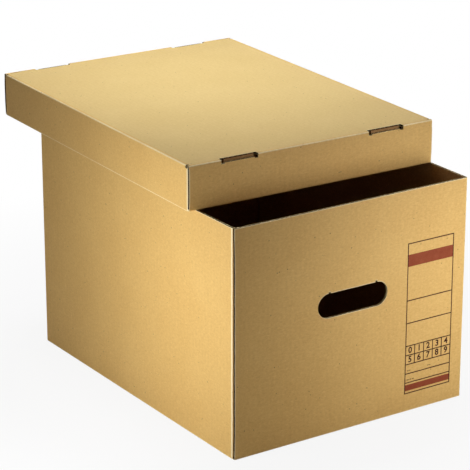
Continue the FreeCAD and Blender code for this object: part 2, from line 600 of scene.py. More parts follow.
class Shader(NodeTree):
    """A material with a Principled shader."""

    def __init__(self, name: str) -> None:
        """Start a material whose Principled shader feeds its output.

        Args:
            name: the material's name.
        """
        self.material = bpy.data.materials.new(name)
        super().__init__(self.material, "ShaderNodeOutputMaterial")
        self.surface = self.node("ShaderNodeBsdfPrincipled")
        self.show(self.surface)

    def set(self, **inputs: "Sock | float | tuple") -> None:
        """Set or link inputs of the Principled shader; Base_Color stands for Base Color."""
        for key, value in inputs.items():
            self.feed(self.surface.socket.node.inputs[key.replace("_", " ")], value)

    def place(self, scale: tuple[float, float, float], turn: float = 0.0) -> Sock:
        """Object coordinates that fit a piece.

        Args:
            scale: how much each axis is stretched, after the turn.
            turn: the angle that they are turned about Z, in radians.

        Returns:
            The coordinates.
        """
        where = self.node("ShaderNodeTexCoord", output="Object")
        if turn:
            where = self.node(
                "ShaderNodeMapping",
                {"vector_type": "POINT"},
                {"Vector": where, "Rotation": (0, 0, turn)},
            )
        return self.node(
            "ShaderNodeMapping", {"vector_type": "POINT"}, {"Vector": where, "Scale": scale}
        )

    def noise(self, where: Sock, scale: float, detail: float = 2.0, roughness: float = 0.5) -> Sock:
        """Cloudy noise from 0 to 1."""
        return self.node(
            "ShaderNodeTexNoise",
            {"noise_dimensions": "3D"},
            {"Vector": where, "Scale": scale, "Detail": detail, "Roughness": roughness},
        )

    def blend(self, share: "Sock | float", first: "Sock | tuple", second: "Sock | tuple") -> Sock:
        """Mix two colours; the Mix node has its colours at sockets 6 and 7 and its result at 2."""
        return self.node("ShaderNodeMix", {"data_type": "RGBA"}, {0: share, 6: first, 7: second}, 2)

    def bump(self, height: Sock, strength: float, distance: float) -> Sock:
        """A normal raised by a height."""
        return self.node(
            "ShaderNodeBump", {}, {"Strength": strength, "Distance": distance, "Height": height}
        )


@dataclass(frozen=True)
class Kraft:
    """Kraft paper: two tones in clouds, long fibres, dark specks and the faint ribs of the flutes.

    grain is the axis that the fibres lie along and ribs the axis across the flutes, 0 to 2.
    """

    name: str
    pale: tuple[int, int, int]
    deep: tuple[int, int, int]
    grain: int = 0
    ribs: int | None = 0
    pitch: float = 6.4 * MM
    turn: float = 0.0
    specks: float = 1.0
    roughness: float = 0.62
    relief: float = 0.08
    sheen: float = 0.35
    shine: float = 0.22

    def build(self) -> bpy.types.Material:
        """Make the material.

        The tone is a sum of clouds, a fine mottle and long fibres; pale threads, dark fibres,
        pale rubbing with its painted highlight, specks and the ribs of the flutes are laid over it
        in that order.

        Returns:
            The material.
        """
        shader = Shader(self.name)
        even = shader.place((1.0, 1.0, 1.0), self.turn)
        stretch = [760.0, 760.0, 760.0]
        stretch[self.grain] = 240.0
        combed = shader.place(tuple(stretch), self.turn)
        clouds = shader.noise(even, 16.0, 2.0, 0.5)
        mottle = shader.noise(even, 420.0, 4.0, 0.68)
        fibres = shader.noise(combed, 1.0, 3.0, 0.65)
        tone = 0.16 * clouds + 0.5 * mottle + 0.34 * fibres
        colour = shader.blend(shader.ramp(tone, 0.38, 0.62), srgb(*self.deep), srgb(*self.pale))
        thread = shader.ramp(fibres, 0.6, 0.74, 0.0, 0.26)
        colour = shader.blend(thread, colour, srgb(*THREAD))
        shade = shader.ramp(fibres, 0.26, 0.4, 0.12, 0.0)
        colour = shader.blend(shade, colour, srgb(*SHADE))
        # Where the mesh's worn attribute is high the paper turns pale: rubbing, and a painted
        # highlight along rims, creases and the left wall's front fold.
        worn = shader.node("ShaderNodeAttribute", {"attribute_name": "worn"}, output="Fac")
        pale_rub_and_highlight = worn * shader.ramp(0.5 * mottle + 0.5 * clouds, 0.34, 0.54, 0.6, 1.0)
        colour = shader.blend(pale_rub_and_highlight, colour, srgb(*PALE_RUB_AND_HIGHLIGHT))
        dots = shader.node(
            "ShaderNodeTexVoronoi",
            {"feature": "F1", "voronoi_dimensions": "3D"},
            {"Vector": even, "Scale": 120.0, "Randomness": 1.0},
            "Distance",
        )
        rare = shader.noise(even, 95.0, 1.0)
        speck = (1 - shader.ramp(dots, 0.06, 0.11)) * shader.ramp(rare, 0.52, 0.6, 0.0, 0.7)
        colour = shader.blend(speck * self.specks, colour, srgb(*SPECK))
        height = 0.5 * fibres + 0.3 * mottle
        if self.ribs is not None:
            across = shader.node("ShaderNodeSeparateXYZ", {}, {0: even}, self.ribs)
            rib = (across * (2 * math.pi / self.pitch)).sine()
            height = height + rib * 0.09
            colour = shader.blend(shader.ramp(rib, -1.0, 1.0, 0.0, 0.022), colour, srgb(*RIB))
        shader.set(
            Base_Color=colour,
            Roughness=shader.ramp(mottle, 0.3, 0.7, self.roughness - 0.06, self.roughness + 0.08),
            Specular_IOR_Level=self.shine,
            Sheen_Weight=self.sheen,
            Sheen_Roughness=0.45,
            Sheen_Tint=(0.8, 0.6, 0.36, 1.0),
            Normal=shader.bump(height, self.relief, 0.4 * MM),
        )
        return shader.material


@dataclass(frozen=True)
class Ink:
    """Flexographic ink on kraft: a little of the paper's mottle shows through."""

    name: str
    full: tuple[int, int, int]
    thin: tuple[int, int, int]

    def build(self) -> bpy.types.Material:
        """Make the material.

        Returns:
            The material.
        """
        shader = Shader(self.name)
        even = shader.place((1.0, 1.0, 1.0))
        mottle = shader.noise(even, 900.0, 3.0, 0.7)
        clouds = shader.noise(even, 120.0, 2.0)
        share = shader.ramp(0.6 * mottle + 0.4 * clouds, 0.42, 0.68)
        colour = shader.blend(share, srgb(*self.full), srgb(*self.thin))
        shader.set(
            Base_Color=colour,
            Roughness=shader.ramp(mottle, 0.3, 0.7, 0.7, 0.82),
            Specular_IOR_Level=0.25,
            Normal=shader.bump(mottle, 0.08, 0.1 * MM),
        )
        return shader.material


# ---- pieces --------------------------------------------------------------------------------------


class Finishes:
    """The materials of one sub-assembly, one for each Face."""

    def __init__(self, tag: str, grain: int, ribs: int | None, turn: float = 0.0,
                 pale: tuple[int, int, int] = (230, 189, 116),
                 deep: tuple[int, int, int] = (216, 171, 99),
                 edge: tuple[int, int, int] = (255, 230, 178),
                 roughness: float = 0.64,
                 flute: tuple[int, int, int] = (62, 34, 16)) -> None:
        """Build the four materials of a panel.

        Args:
            tag: the start of the materials' names.
            grain: the axis that the fibres lie along.
            ribs: the axis across the flutes, or None where no rib shows.
            turn: the angle that the panel is turned about Z.
            pale: the paler tone of the outside.
            deep: the deeper tone of the outside.
            edge: the tone of cut liners; the pale default is partly a painted highlight of the
                rims.
            roughness: the roughness of the outside.
            flute: the tone of the fluting, darker than the medium's own brown as painted shade of
                open flutes and narrow gaps.
        """
        self.materials = [
            Kraft(f"{tag}_outside", pale, deep, grain, ribs, turn=turn,
                  roughness=roughness).build(),
            Kraft(f"{tag}_inside", (176, 134, 84), (150, 110, 66), grain, ribs, turn=turn,
                  roughness=0.75, relief=0.2).build(),
            # The pale edge tone is partly a painted highlight of the rims.
            Kraft(f"{tag}_edge", edge, tuple(round(0.86 * part) for part in edge), grain, None,
                  turn=turn, specks=0.3, roughness=0.85, relief=0.35, sheen=0.0,
                  shine=0.08).build(),
            # The dark flute tone is partly painted shade of open flutes and narrow gaps.
            Kraft(f"{tag}_flute", flute, tuple(round(0.68 * part) for part in flute), grain, None,
                  turn=turn, specks=0.5, roughness=0.9, relief=0.3, sheen=0.0, shine=0.05).build(),
        ]


def make_piece(
    name: str,
    patches: list[Patch],
    materials: list[bpy.types.Material],
    body: str,
    nodes: list[str],
    move: Callable[[np.ndarray], np.ndarray] | None = None,
) -> bpy.types.Object:
    """Make one object from patches and give it to the frame.

    Args:
        name: the object's name.
        patches: closed patches, in the piece's own place.
        materials: the materials, in the order of Face.
        body: the CAD body that it rides on.
        nodes: the CAD nodes that it stands for.
        move: turns the points' place into the row frame, if they aren't in it.

    Returns:
        The object.
    """
    offsets = np.cumsum([0] + [len(patch.points) for patch in patches[:-1]])
    points = np.concatenate([patch.points for patch in patches])
    quads = np.concatenate([patch.quads + start for patch, start in zip(patches, offsets)])
    kinds = np.concatenate([patch.faces for patch in patches])
    if move is not None:
        points = move(points)
    mesh = bpy.data.meshes.new(name)
    mesh.from_pydata(points.tolist(), [], quads.tolist())
    mesh.polygons.foreach_set("material_index", kinds.astype(np.int32))
    mesh.polygons.foreach_set("use_smooth", np.ones(len(quads), dtype=bool))
    worn = mesh.attributes.new("worn", "FLOAT", "POINT")
    wear = np.concatenate([patch.worn for patch in patches])
    worn.data.foreach_set("value", wear.astype(np.float32))
    mesh.set_sharp_from_angle(angle=math.radians(SMOOTH_TO))
    for material in materials:
        mesh.materials.append(material)
    mesh.update()
    piece = bpy.data.objects.new(name, mesh)
    bpy.context.scene.collection.objects.link(piece)
    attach(piece, body)
    if nodes:
        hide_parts(*nodes)
    log.info("%s: %d faces, on %s", name, len(quads), body)
    return piece


@dataclass
class Body:
    """The glued tube: four walls and the glue flap, with flutes that stand upright.

    wall_x and wall_y are where the outsides of the walls are, fold is the radius of a whole fold
    and setback how far the front wall's cut edge is from the corner. gap_depth and gap_reach shape
    that edge's gape, dent_depth and dent_reach the dents of the fold beside it.
    """

    board: Board
    wall_x: float
    wall_y: float
    height: float
    fold: float
    setback: float
    hole_width: float
    hole_height: float
    hole_top: float
    nick_width: float = 3.0 * MM
    nick_height: float = 2.0 * MM
    taper: float = 7.0 * MM
    gap_depth: float = 1.2 * MM
    gap_reach: float = 34.0 * MM
    dent_depth: float = 0.16 * MM
    dent_reach: float = 14.0 * MM
    gap_rows: int = 60
    dent_rows: int = 70
    front: Finishes = field(init=False)
    side: Finishes = field(init=False)

    def __post_init__(self) -> None:
        """Make the finishes: ribs follow each other along X on the end walls and Y on the sides."""
        self.front = Finishes("end_wall", grain=0, ribs=0)
        self.side = Finishes("side_wall", grain=1, ribs=1)

    def hole_limits(self, x: np.ndarray) -> tuple[np.ndarray, np.ndarray]:
        """Lower and upper edge of the hand hole at each x.

        The ends are half circles, so the half height is the root of the radius squared less the
        distance past the straight part squared; a nick lifts the upper edge at each end of the
        straight part.

        Args:
            x: places across the wall.

        Returns:
            The lower and the upper edge at each place.
        """
        radius = self.hole_height / 2
        reach = self.hole_width / 2 - radius
        past = np.clip(np.abs(x) - reach, 0.0, radius)
        half = np.sqrt(np.maximum(radius**2 - past**2, 0.0))
        middle = self.hole_top - radius
        nicked = (np.abs(x) > reach - self.nick_width) & (np.abs(x) < reach)
        return middle - half, middle + half + np.where(nicked, self.nick_height, 0.0)

    def hole_stations(self) -> np.ndarray:
        """Places across the hole: close together at the round ends and at the nicks' corners.

        Returns:
            Places on X, in order.
        """
        radius = self.hole_height / 2
        reach = self.hole_width / 2 - radius
        nick = reach - self.nick_width
        end = reach + radius * np.sin(np.linspace(0.0, math.pi / 2, 13))
        corners = np.array([nick - HAIR, nick + HAIR, reach - HAIR])
        right = np.concatenate([corners, end])
        inside = self.board.stations(-nick, nick)[1:-1]
        return np.sort(np.concatenate([-right, inside, right]))

    def holed_runs(self, x0: float, x1: float, face_y: float, outward: np.ndarray) -> list[Run]:
        """A flat wall with a hand hole: the two sides of it, what is under it and what is over it.

        Args:
            x0: where the wall starts on X.
            x1: where it stops.
            face_y: where its outside is on Y.
            outward: the direction that it faces.

        Returns:
            Four runs.
        """
        half = self.hole_width / 2
        runs = []
        cut = outward[1] < 0
        for start, stop, first, last in ((x0, -half, cut, False), (half, x1, False, False)):
            run = straight_run(
                self.board, np.array([start, face_y, 0.0]), np.array([stop, face_y, 0.0]),
                outward, Z,
                0.0, self.height, open_start=first, open_stop=last,
            )
            run.start_distance = start - x0 + CUT_PHASE * self.board.pitch
            # The rims are pale: rubbing and a painted highlight.
            run.cut_low = run.cut_high = 1.0
            if first:
                run.rows, run.bow = self.gap_rows, self.gape
            runs.append(run)
        x = self.hole_stations()
        line = Line.flat(np.stack([x, np.full_like(x, face_y), np.zeros_like(x)], axis=1), outward)
        under, over = self.hole_limits(x)
        flat = np.ones_like(x)
        for low, high in ((flat * 0.0, under), (over, flat * self.height)):
            runs.append(Run(
                line, Z, low, high, start_distance=-half - x0 + CUT_PHASE * self.board.pitch,
                cut_low=1.0, cut_high=1.0,
            ))
        return runs

    def gape(self, points: np.ndarray) -> np.ndarray:
        """How far the front wall's cut edge stands off the fold behind it.

        The square of the nearness to the edge, faded out at the bottom and the top, times a product
        of two sines of the height that makes it uneven.

        Args:
            points: points of the wall.

        Returns:
            A distance outwards for each point.
        """
        near = fall(points[..., 0], -self.wall_x + self.setback, self.gap_reach)
        z = points[..., 2]
        ends = rise(z, 2 * MM, 26 * MM) * fall(z, self.height - 36 * MM, 24 * MM)
        ripple = 0.82 + 0.18 * np.sin(z / (11 * MM)) * np.sin(z / (4.3 * MM))
        return self.gap_depth * near**2 * ends * ripple

    def side_line(self, x_sign: float, front_y: float) -> Line:
        """The outside of a side wall with the folds at both of its ends.

        Args:
            x_sign: 1 for the right wall, -1 for the left one.
            front_y: where its front fold ends on Y.

        Returns:
            The line.
        """
        out = X * x_sign
        centre_x = x_sign * (self.wall_x - self.fold)
        back_y = self.wall_y - self.fold
        y = self.board.stations(front_y, back_y)
        points = np.stack([np.full_like(y, x_sign * self.wall_x), y, np.zeros_like(y)], axis=1)
        return (
            fold_line(np.array([centre_x, front_y, 0.0]), -Y, out, self.fold)
            + Line.flat(points, out)
            + fold_line(np.array([centre_x, back_y, 0.0]), out, Y, self.fold)
        )

    def crumple(self, points: np.ndarray) -> np.ndarray:
        """Small dents of the left wall's front fold: sines of the height, fading along the wall.

        Args:
            points: points of the wall.

        Returns:
            A distance outwards for each point, mostly below nought.
        """
        near = fall(points[..., 1], -self.wall_y + self.board.thickness, self.dent_reach)
        z = points[..., 2]
        wave = np.sin(z / (7.1 * MM)) * np.sin(z / (17 * MM) + 1.0) + 0.5 * np.sin(z / (3.1 * MM))
        return self.dent_depth * near * (wave - 1.0)

    def rubbed_fold(self, line: Line) -> np.ndarray:
        """Rubbing and painted highlight of the left wall: its back fold, and a narrow painted
        highlight stripe where the front fold starts.

        The stripe falls from one to nothing on both sides of the fold's end.

        Args:
            line: the outside of the wall.

        Returns:
            Rubbing and painted highlight from 0 to 1 for each point of the line.
        """
        part = np.abs(line.outward)
        back = np.where(line.points[:, 1] > 0.0, 2 * part[:, 0] * part[:, 1], 0.0)
        # Beside the front fold the flat face gets a painted highlight stripe; the front fold itself
        # gets none.
        end = -self.wall_y + self.board.thickness + CREASE
        faces_left = part[:, 0] > 0.8
        near = np.clip(1.4 - np.abs(line.points[:, 1] - end) / STRIPE, 0.0, 1.0)
        return np.maximum(back, near * faces_left)

    def upright(self, line: Line, **ends: object) -> Run:
        """A run of the full height along a line."""
        flat = np.ones(len(line.points))
        return Run(line, Z, flat * 0.0, flat * self.height, cut_low=1.0, cut_high=1.0, **ends)

    def build(self) -> None:
        """Make the five pieces."""
        board = self.board
        left = self.side_line(-1.0, -self.wall_y + board.thickness + self.fold)
        walls = {
            "front_wall": self.holed_runs(
                -self.wall_x + self.setback, self.wall_x - self.fold, -self.wall_y, -Y
            ),
            "back_wall": self.holed_runs(
                -self.wall_x + self.fold, self.wall_x - self.fold, self.wall_y, Y
            ),
            "right_wall": [self.upright(self.side_line(1.0, -self.wall_y + self.fold))],
            "left_wall": [
                self.upright(
                    left, rows=self.dent_rows, bow=self.crumple, wear=self.rubbed_fold(left)
                )
            ],
            "glue_flap": [self.glue_flap_run()],
        }
        for name, runs in walls.items():
            patches = [patch for run in runs for patch in board_patches(run, board)]
            if name == "front_wall":
                # The front wall's cut end gets painted shade of the gap beside the fold.
                patches = shaded_cut(patches, -self.wall_x + self.setback)
            finish = self.side if name in ("right_wall", "left_wall") else self.front
            make_piece(f"{name}_board", patches, finish.materials, "box", [name])

    def glue_flap_run(self) -> Run:
        """The glued strip, with its ends cut at a slant towards the free edge.

        Returns:
            The run.
        """
        low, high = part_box("glue_flap")
        start = np.array([low.x, low.y, 0.0])
        stop = np.array([high.x, low.y, 0.0])
        run = straight_run(self.board, start, stop, -Y, Z, low.z, high.z, open_stop=True)
        share = (run.line.points[:, 0] - low.x) / (high.x - low.x)
        run.low = run.low + self.taper * share
        run.high = run.high - self.taper * share
        return run


@dataclass
class Flaps:
    """The four bottom flaps and the two hand-hole flaps, each on its own crease."""

    board: Board
    front: Finishes
    side: Finishes

    def lying(self, node: str, across: np.ndarray, along: np.ndarray) -> list[Patch]:
        """A flap that lies flat, its outside down.

        Args:
            node: the CAD node.
            across: the direction across its flutes.
            along: the direction of its flutes.

        Returns:
            Its patches.
        """
        low, high = (np.array(corner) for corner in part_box(node))
        start = low * across
        stop = high * across
        base = low[2] * Z
        run = straight_run(
            self.board, start + base, stop + base, -Z, along,
            float(low @ along), float(high @ along),
            open_start=True, open_stop=True,
        )
        run.cut_low = run.cut_high = 0.7
        return board_patches(run, self.board)

    def standing(self, node: str, y_sign: float) -> list[Patch]:
        """A hand-hole flap folded up inside: a stadium, so each flute stops at its half circles.

        Args:
            node: the CAD node.
            y_sign: -1 for the front wall, 1 for the back one.

        Returns:
            Its patches.
        """
        low, high = (np.array(corner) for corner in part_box(node))
        radius = (high[2] - low[2]) / 2
        reach = high[0] - radius
        end = reach + radius * np.sin(np.linspace(0.0, 0.98 * math.pi / 2, 12))
        inside = self.board.stations(-reach, reach)[1:-1]
        x = np.sort(np.concatenate([-end, inside, end]))
        past = np.clip(np.abs(x) - reach, 0.0, radius)
        half = np.sqrt(radius**2 - past**2)
        middle = (low[2] + high[2]) / 2
        inner_y = high[1] if y_sign < 0 else low[1]
        points = np.stack([x, np.full_like(x, inner_y), np.zeros_like(x)], axis=1)
        run = Run(Line.flat(points, -y_sign * Y), Z, middle - half, middle + half)
        return board_patches(run, self.board)

    def build(self) -> None:
        """Make the six pieces."""
        for node, across, along, finish in (
            ("left_bottom_flap", Y, X, self.side),
            ("right_bottom_flap", Y, X, self.side),
            ("front_bottom_flap", X, Y, self.front),
            ("back_bottom_flap", X, Y, self.front),
        ):
            patches = self.lying(node, across, along)
            make_piece(
                f"{node}_board", patches, finish.materials, node, [node]
            )
        for node, y_sign in (("front_handle_flap", -1.0), ("back_handle_flap", 1.0)):
            patches = self.standing(node, y_sign)
            make_piece(
                f"{node}_board", patches, self.front.materials, node, [node]
            )


@dataclass
class Lid:
    """The tray lid, built level on its own middle and then laid where the frame has it.

    half_x and half_y are half its width and length. A slot is slot_half each side of slot_at, and a
    locking tab tab_half each side of the same place. The inner panels step in by one board over a
    length of joggle, to pass the corner tabs. bow_depth and bow_reach say how the skirts' cut ends
    stand off.
    """

    board: Board
    half_x: float
    half_y: float
    height: float
    fold: float
    setback: float
    turn: float
    middle: np.ndarray
    slot_half: float = 25.0 * MM
    slot_at: float = 102.0 * MM
    slot_back: float = 0.5 * MM
    tab_half: float = 20.0 * MM
    joggle: float = 10.0 * MM
    joggle_gap: float = 8.0 * MM
    tab_length: float = 26.0 * MM
    tab_gap: float = 1.0 * MM
    relief: float = 6.0 * MM
    foot_rise: float = 3.0 * MM
    slot_drop: float = 1.4 * MM
    tab_drop: float = 0.6 * MM
    roll_lap: float = 0.05 * MM
    bow_depth: float = 0.7 * MM
    bow_reach: float = 30.0 * MM
    top: Finishes = field(init=False)
    end: Finishes = field(init=False)
    roll: Finishes = field(init=False)
    side: Finishes = field(init=False)

    def __post_init__(self) -> None:
        """Make the finishes, turned with the lid."""
        # The top is the same board as the skirts; its paler, less orange tones are a painted sheen.
        self.top = Finishes("lid_top", grain=0, ribs=0, turn=-self.turn, pale=(229, 199, 137),
                            deep=(219, 186, 122), roughness=0.74)
        self.end = Finishes("lid_end", grain=0, ribs=0, turn=-self.turn)
        # The roll's cut edges are dark brown: painted shade of the gaps in the slots.
        self.roll = Finishes("lid_roll", grain=0, ribs=0, turn=-self.turn, edge=(118, 74, 44))
        self.side = Finishes("lid_side", grain=1, ribs=None, turn=-self.turn)

    def laid(self, points: np.ndarray) -> np.ndarray:
        """Turn points about Z by the lid's turn and move them to its middle.

        Args:
            points: points on the lid's own middle.

        Returns:
            The points where the frame has the lid.
        """
        cosine, sine = math.cos(self.turn), math.sin(self.turn)
        x = cosine * points[:, 0] - sine * points[:, 1]
        y = sine * points[:, 0] + cosine * points[:, 1]
        return np.stack([x, y, points[:, 2]], axis=1) + self.middle

    def stations_with(self, start: float, stop: float, marks: list[float]) -> np.ndarray:
        """Places across the flutes with a close pair at each mark, where an edge steps.

        Args:
            start: the first place.
            stop: the last place.
            marks: where the edge steps.

        Returns:
            The places, in order.
        """
        even = self.board.stations(start, stop)
        pairs = np.array([mark + side * HAIR for mark in marks for side in (-1, 1)])
        return np.unique(np.concatenate([even, pairs]))

    def in_slot(self, x: np.ndarray, half: float) -> np.ndarray:
        """True where x is within half of the middle of a slot."""
        return np.abs(np.abs(x) - self.slot_at) < half

    def slot_marks(self, half: float) -> list[float]:
        """The ends of both slots, or of both tabs."""
        return [sign * (self.slot_at + side * half) for sign in (-1, 1) for side in (-1, 1)]

    def top_runs(self) -> list[Run]:
        """The top panel, shorter at both ends where the slots are.

        Returns:
            One run.
        """
        reach = self.half_x - self.fold
        x = self.stations_with(-reach, reach, self.slot_marks(self.slot_half))
        line = Line.flat(np.stack([x, np.zeros_like(x), np.full_like(x, self.height)], axis=1), Z)
        full = self.half_y - self.fold
        cut = self.half_y - 2 * self.board.thickness - self.slot_back
        slotted = self.in_slot(x, self.slot_half)
        edge = np.where(slotted, cut, full)
        wear = np.where(slotted, 0.8, 0.0)
        return [Run(line, Y, -edge, edge, cut_low=wear, cut_high=wear)]

    def skirt_runs(self, side: float) -> list[Run]:
        """A side skirt: from its lower edge up and over the top crease, and a fold at each end.

        Args:
            side: 1 for the right, -1 for the left.

        Returns:
            Three runs.
        """
        out = X * side
        centre = np.array([side * (self.half_x - self.fold), 0.0, self.height - self.fold])
        z = self.board.stations(0.0, self.height - self.fold)
        wall = np.stack([np.full_like(z, side * self.half_x), np.zeros_like(z), z], axis=1)
        line = Line.flat(wall, out) + fold_line(centre, out, Z, self.fold)
        reach = self.half_y - self.board.thickness - self.fold
        flat = np.ones(len(line.points))
        runs = [Run(line, Y, -flat * reach, flat * reach, open_start=True)]
        for end in (-1.0, 1.0):
            corner = fold_line(np.array([centre[0], end * reach, 0.0]), out, Y * end, self.fold)
            flat = np.ones(len(corner.points))
            runs.append(Run(corner, Z, flat * 0.0, flat * (self.height - self.fold), cut_low=1.0))
        return runs

    def skirt_bow(self, points: np.ndarray) -> np.ndarray:
        """How far an end skirt stands off at its free ends, between its crease and its rolled foot.

        The square of the nearness to the free end, faded out at the foot and at the crease.

        Args:
            points: points of the skirt.

        Returns:
            A distance outwards for each point.
        """
        start = self.half_x - self.setback - self.bow_reach
        near = rise(np.abs(points[..., 0]), start, self.bow_reach)
        z = points[..., 2]
        ends = rise(z, 3 * MM, 12 * MM) * fall(z, self.height - self.fold - 10 * MM, 10 * MM)
        return self.bow_depth * near**2 * ends

    def end_skirt_patches(self, end: float) -> list[Patch]:
        """An end skirt: flutes run down it from the crease, which two slots cut away.

        The skirt is carried along X. Its outside goes up from the rolled foot to the crease, a
        quarter turn of the fold's radius, and stops below the crease where a slot is.

        Args:
            end: 1 for the back, -1 for the front.

        Returns:
            Its patches.
        """
        board = self.board
        reach = self.half_x - self.setback
        x = self.stations_with(
            -reach, reach, self.slot_marks(self.slot_half) + self.slot_marks(self.tab_half)
        )
        top = self.height - self.fold
        foot = board.thickness - self.fold + self.foot_rise
        points = np.stack([x, np.full_like(x, end * self.half_y), np.zeros_like(x)], axis=1)
        flat = np.ones_like(x)
        ends_of_slots = self.in_slot(x, self.slot_half) & ~self.in_slot(x, self.tab_half)
        high = np.where(ends_of_slots, top - self.slot_drop, top)
        skirt = Run(Line.flat(points, Y * end), Z, flat * foot, high,
                    open_start=True, open_stop=True, rows=12, bow=self.skirt_bow,
                    start_distance=CUT_PHASE * board.pitch)
        # Both cut ends get painted shade of the gaps at the lid's corners.
        patches = shaded_cut(shaded_cut(board_patches(skirt, board), -reach), reach)
        axis = np.array([0.0, end * (self.half_y - self.fold), top])
        crease = fold_line(axis, Y * end, Z, self.fold)
        marks = [-reach] + sorted(self.slot_marks(self.slot_half)) + [reach]
        for start, stop in zip(marks[0::2], marks[1::2]):
            flat = np.ones(len(crease.points))
            patches.extend(liner_patches(Run(crease, X, flat * start, flat * stop), board))
        patches.append(self.foot_patch(end, -reach, reach, foot))
        return patches

    def foot_patch(self, end: float, start: float, stop: float, foot: float) -> Patch:
        """The rounded lower edge of an end skirt: a quarter turn from its face to its underside.

        Args:
            end: 1 for the back, -1 for the front.
            start: where it starts on X.
            stop: where it stops.
            foot: the radius of the turn.

        Returns:
            The patch.
        """
        turn = np.linspace(0.0, math.pi / 2, 7)
        grid_x, grid_t = np.meshgrid([start, stop], turn, indexing="ij")
        y = self.half_y - foot + foot * np.cos(grid_t)
        front = np.stack([grid_x, end * y, foot - foot * np.sin(grid_t)], axis=-1)
        inner = end * (self.half_y - self.board.thickness)
        back_y = np.full_like(grid_x, inner)
        back_z = np.linspace(foot, 0.0, len(turn))[None, :] * np.ones_like(grid_x)
        back = np.stack([grid_x, back_y, back_z], axis=-1)
        return closed_sheet(front, back, (Face.OUTSIDE, Face.INSIDE, Face.EDGE))

    def inner_line(self, end: float) -> tuple[np.ndarray, np.ndarray, np.ndarray]:
        """The face of an inner panel that looks at the end skirt, as places on X and on Y.

        Over the corner tabs it stands one board further in; between them it comes forward to the
        skirt along a smooth step, three s squared less two s cubed.

        Args:
            end: 1 for the back, -1 for the front.

        Returns:
            Places on X, places on Y, and the height that the panel reaches there.
        """
        board = self.board
        reach = self.half_x - board.thickness - self.tab_gap
        over_tab = self.half_x - self.fold - self.tab_length - self.joggle_gap
        x = self.stations_with(
            -reach, reach, self.slot_marks(self.tab_half) + self.slot_marks(self.slot_half)
        )
        share = rise(np.abs(x), over_tab - self.joggle, self.joggle)
        step = share * share * (3 - 2 * share)
        y = end * (self.half_y - board.thickness - step * board.thickness)
        low_top = self.height - self.fold
        relief = np.where(self.in_slot(x, self.slot_half), low_top - self.relief, low_top)
        high = np.where(self.in_slot(x, self.tab_half), self.height - self.tab_drop, relief)
        return x, y, high

    def inner_patches(self, end: float) -> list[Patch]:
        """The rolled-over inner panel with its two locking tabs, and the roll under the tabs.

        Args:
            end: 1 for the back, -1 for the front.

        Returns:
            Its patches.
        """
        board = self.board
        x, y, high = self.inner_line(end)
        line = Line.flat(np.stack([x, y, np.zeros_like(x)], axis=1), Y * end)
        run = Run(line, Z, np.zeros_like(x), high, open_start=True, open_stop=True, turned=True)
        patches = board_patches(run, board)
        skirt_back = np.full_like(x, end * (self.half_y - board.thickness))
        grid_z = np.array([0.0, board.thickness])
        front = np.stack(np.broadcast_arrays(x[:, None], skirt_back[:, None], grid_z), axis=-1)
        back = front.copy()
        back[..., 1] = (y - end * self.roll_lap)[:, None]
        patches.append(closed_sheet(front, back, (Face.INSIDE, Face.INSIDE, Face.OUTSIDE)))
        return patches

    def tab_patches(self, side: float, end: float) -> list[Patch]:
        """A corner tab between the end skirt and the inner panel.

        Args:
            side: 1 for the right, -1 for the left.
            end: 1 for the back, -1 for the front.

        Returns:
            Its patches.
        """
        board = self.board
        start_x = side * (self.half_x - self.fold)
        stop_x = start_x - side * self.tab_length
        face_y = end * (self.half_y - board.thickness)
        low = board.thickness + self.tab_gap
        high = self.height - board.thickness - self.tab_gap
        run = straight_run(
            board, np.array([start_x, face_y, 0.0]), np.array([stop_x, face_y, 0.0]), Y * end, Z,
            low, high, open_stop=True,
        )
        return board_patches(run, board)

    def build(self) -> None:
        """Make the eleven pieces."""
        board = self.board
        pieces: dict[str, tuple[list[Patch], Finishes]] = {}
        pieces["lid_top_panel"] = (
            [patch for run in self.top_runs() for patch in board_patches(run, board)], self.top
        )
        for word, side in (("right", 1.0), ("left", -1.0)):
            patches = [
                patch for run in self.skirt_runs(side) for patch in board_patches(run, board)
            ]
            pieces[f"lid_{word}_skirt"] = (patches, self.side)
        for word, end in (("front", -1.0), ("back", 1.0)):
            pieces[f"lid_{word}_skirt"] = (self.end_skirt_patches(end), self.end)
            pieces[f"lid_{word}_inner_panel"] = (self.inner_patches(end), self.roll)
            for hand, side in (("right", 1.0), ("left", -1.0)):
                pieces[f"lid_{word}_{hand}_tab"] = (self.tab_patches(side, end), self.end)
        for name, (patches, finish) in pieces.items():
            make_piece(
                f"{name}_board", patches, finish.materials, "lid", [name],
                self.laid,
            )


